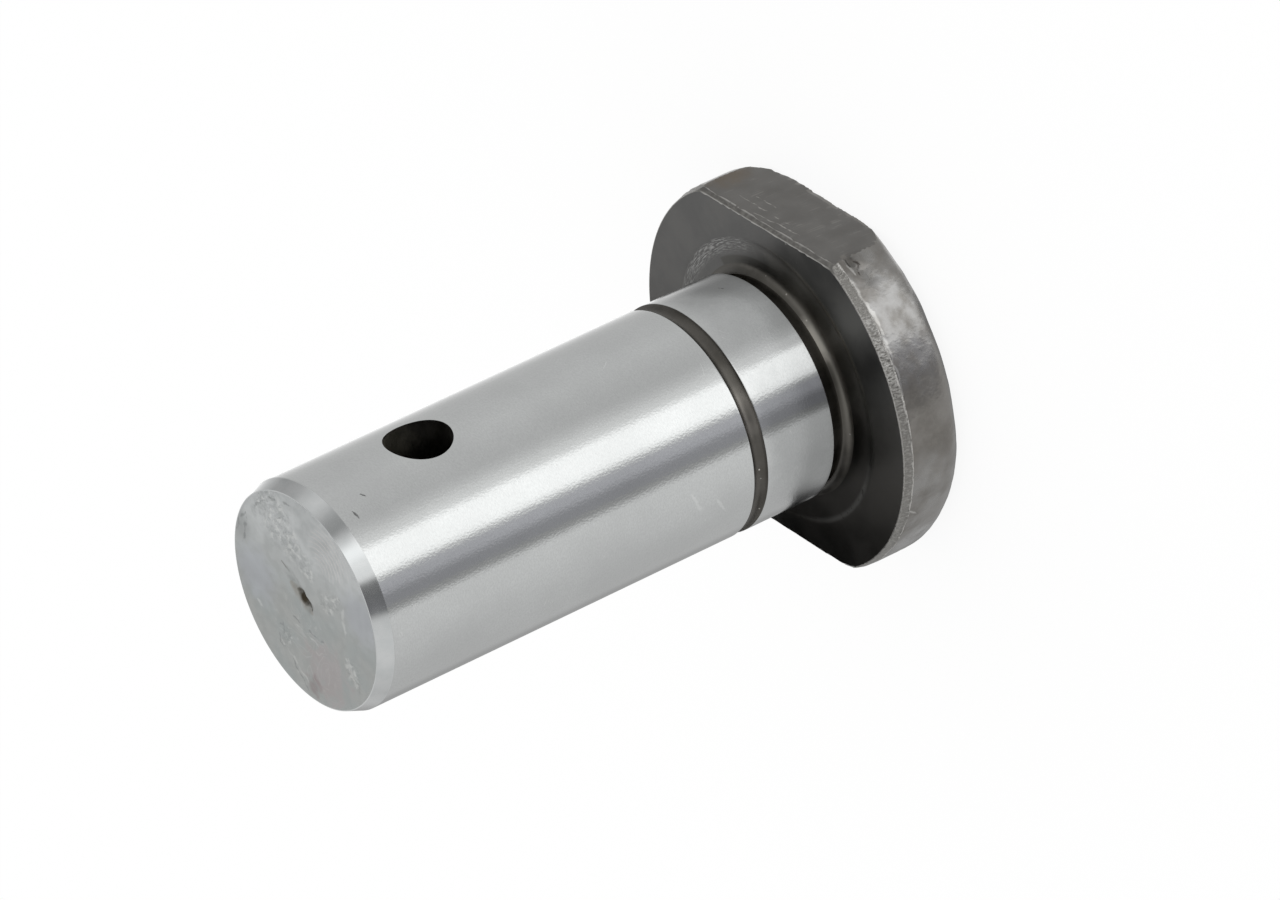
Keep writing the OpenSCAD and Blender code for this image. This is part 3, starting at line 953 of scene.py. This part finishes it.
world = bpy.data.worlds.new("studio")
bpy.context.scene.world = world
world.use_nodes = True
world.cycles.sampling_method = "NONE"
tree = world.node_tree
tree.nodes.clear()
where = place(tree, "TexCoord")
look = place(tree, "SeparateXYZ", {"Vector": where.outputs["Generated"]})
turn = azimuth_of(tree, where.outputs["Generated"])
# The low boxes lean a little, so they turn further round with height
low_look = math.radians(29)
lean = 0.27
height = work_out(tree, "ADD", work_out(tree, "ARCSINE", look.outputs["Z"]), low_look)
leaning = once_round(tree, work_out(tree, "SUBTRACT", turn, times(tree, height, lean)))
raised = soft_step(tree, look.outputs["Z"], -0.4, -0.05)
colour = tint(tree, raised, paint_bands(tree, leaning, low_bands), paint_bands(tree, turn, high_bands))
banded = place(tree, "Background", {"Color": colour, "Strength": brightest})
plain = place(tree, "Background", {"Color": (1, 1, 1, 1), "Strength": 1})
mirrored = place(tree, "LightPath").outputs["Is Glossy Ray"]
light = place(tree, "MixShader", {0: mirrored, 1: plain.outputs[0], 2: banded.outputs[0]})
place(tree, "OutputWorld", {"Surface": light.outputs[0]})


def hang_card(name, place_mm, size_mm):
    """Hangs a level card that only reflections can see, and returns the empty tree of its cloth."""
    deselect_objects()
    bpy.ops.mesh.primitive_plane_add(size=1, location=Vector(place_mm) * MM)
    card = bpy.context.object
    card.name = name
    card.scale = (size_mm[0] * MM, size_mm[1] * MM, 1)
    card.visible_camera = False
    card.visible_diffuse = False
    card.visible_shadow = False
    card.visible_transmission = False
    cloth = bpy.data.materials.new(name + "_cloth")
    cloth.use_nodes = True
    cloth.node_tree.nodes.clear()
    card.data.materials.append(cloth)
    return cloth.node_tree


def paint_card(tree, solid, colour, strength):
    """Makes the card glow in a colour where it is solid, and clears the rest of it away."""
    glow = place(tree, "Emission", {"Color": colour, "Strength": strength})
    clear = place(tree, "BsdfTransparent")
    cover = place(tree, "MixShader", {0: solid, 1: clear.outputs[0], 2: glow.outputs[0]})
    place(tree, "OutputMaterial", {"Surface": cover.outputs[0]})


# A black awning low over the far side of the head keeps the light off the face there.
# Only reflections that look up from below meet it.
tree = hang_card("black_awning", (20, 56, 25), (140, 84))
where = place(tree, "TexCoord")
parts = place(tree, "SeparateXYZ", {"Vector": where.outputs["Object"]})
side = place(tree, "NewGeometry")
fade_y = soft_step(tree, parts.outputs["Y"], -0.5, -0.3)
fade_x = soft_step(tree, work_out(tree, "ABSOLUTE", parts.outputs["X"]), 0.5, 0.35)
solid = times(tree, times(tree, fade_x, fade_y), side.outputs["Backfacing"])
paint_card(tree, solid, (0, 0, 0, 1), 0)

# A pale card lies just over the face of the head, where the shank would mirror that dark face.
# It is painted in wedges that carry the boxes of the room on down to the neck.
# Only reflections that look down from above meet it.
tree = hang_card("pale_card", (0, 0, 9.6), (48, 48))
side = place(tree, "NewGeometry")
in_mm = place(tree, "VectorMath", {0: side.outputs["Position"], "Scale": 1000}, operation="SCALE")
out, across, _ = measure(tree, in_mm.outputs[0])
outer_edge = soft_step(tree, out, 23.8, 23.5)
within_flats = soft_step(tree, across, 20.5, 20.3)
# A wedge's azimuth from the front one, and where in the room the shank looks when it looks through it
front_wedge = math.radians(217.6)
seen_from_front = place(tree, "VectorRotate", {"Vector": in_mm.outputs[0], "Angle": -front_wedge},
                        rotation_type="Z_AXIS")
wedge = azimuth_of(tree, seen_from_front.outputs[0])
twice_out = times(tree, out, 2)
widening = work_out(tree, "DIVIDE", twice_out, work_out(tree, "SUBTRACT", twice_out, shank_r / MM))
room_turn = once_round(tree, work_out(tree, "ADD", times(tree, wedge, widening), front_wedge))
# The card covers the front half, and reaches further round on one side, the more so towards the rim
spread_out = work_out(tree, "SUBTRACT", wedge, times(tree, out, math.radians(6)))
front_half = times(tree, soft_step(tree, spread_out, math.radians(8), math.radians(-16)),
                  soft_step(tree, wedge, math.radians(-112), math.radians(-76)))
# It keeps just clear of what the neck looks at
neck_looks = times(tree, work_out(tree, "COSINE", times(tree, wedge, 0.9)), 1.8)
neck_looks = work_out(tree, "ADD", neck_looks, 15.1)
inner_edge = soft_step(tree, work_out(tree, "SUBTRACT", out, neck_looks), -0.5, 0.4)
above = work_out(tree, "SUBTRACT", 1, side.outputs["Backfacing"])
solid = times(tree, times(tree, inner_edge, outer_edge), times(tree, within_flats, above))
solid = times(tree, solid, times(tree, front_half, 0.9))
contrast = place(tree, "Gamma", {"Color": paint_bands(tree, room_turn, low_bands), "Gamma": 1.25})
paint_card(tree, solid, contrast.outputs[0], brightest)

# THE CAMERA
# Its place was fitted to the photograph: what it aims at, how far off, and its turn, lift and tilt
lens_mm = 305.87
cam_data = bpy.data.cameras.new("camera")
cam_data.lens = lens_mm
cam_data.sensor_width = 36
cam_data.clip_start = 0.05
camera = bpy.data.objects.new("camera", cam_data)
bpy.context.scene.collection.objects.link(camera)
aim = Vector((-0.4327, 0.5616, 28.839)) * MM
turn_round = math.radians(-52.3834)
lift = math.radians(29.1911)
tilt = math.radians(115.2383)
distance = 1.22943
level = math.cos(lift)
back = Vector((math.sin(turn_round) * level, -math.cos(turn_round) * level, math.sin(lift)))
facing = (-back).to_track_quat("-Z", "Y").to_matrix().to_4x4()
camera.matrix_world = Matrix.Translation(aim + back * distance) @ facing @ Matrix.Rotation(-tilt, 4, "Z")
bpy.context.scene.camera = camera
bpy.context.scene.view_settings.view_transform = "Standard"
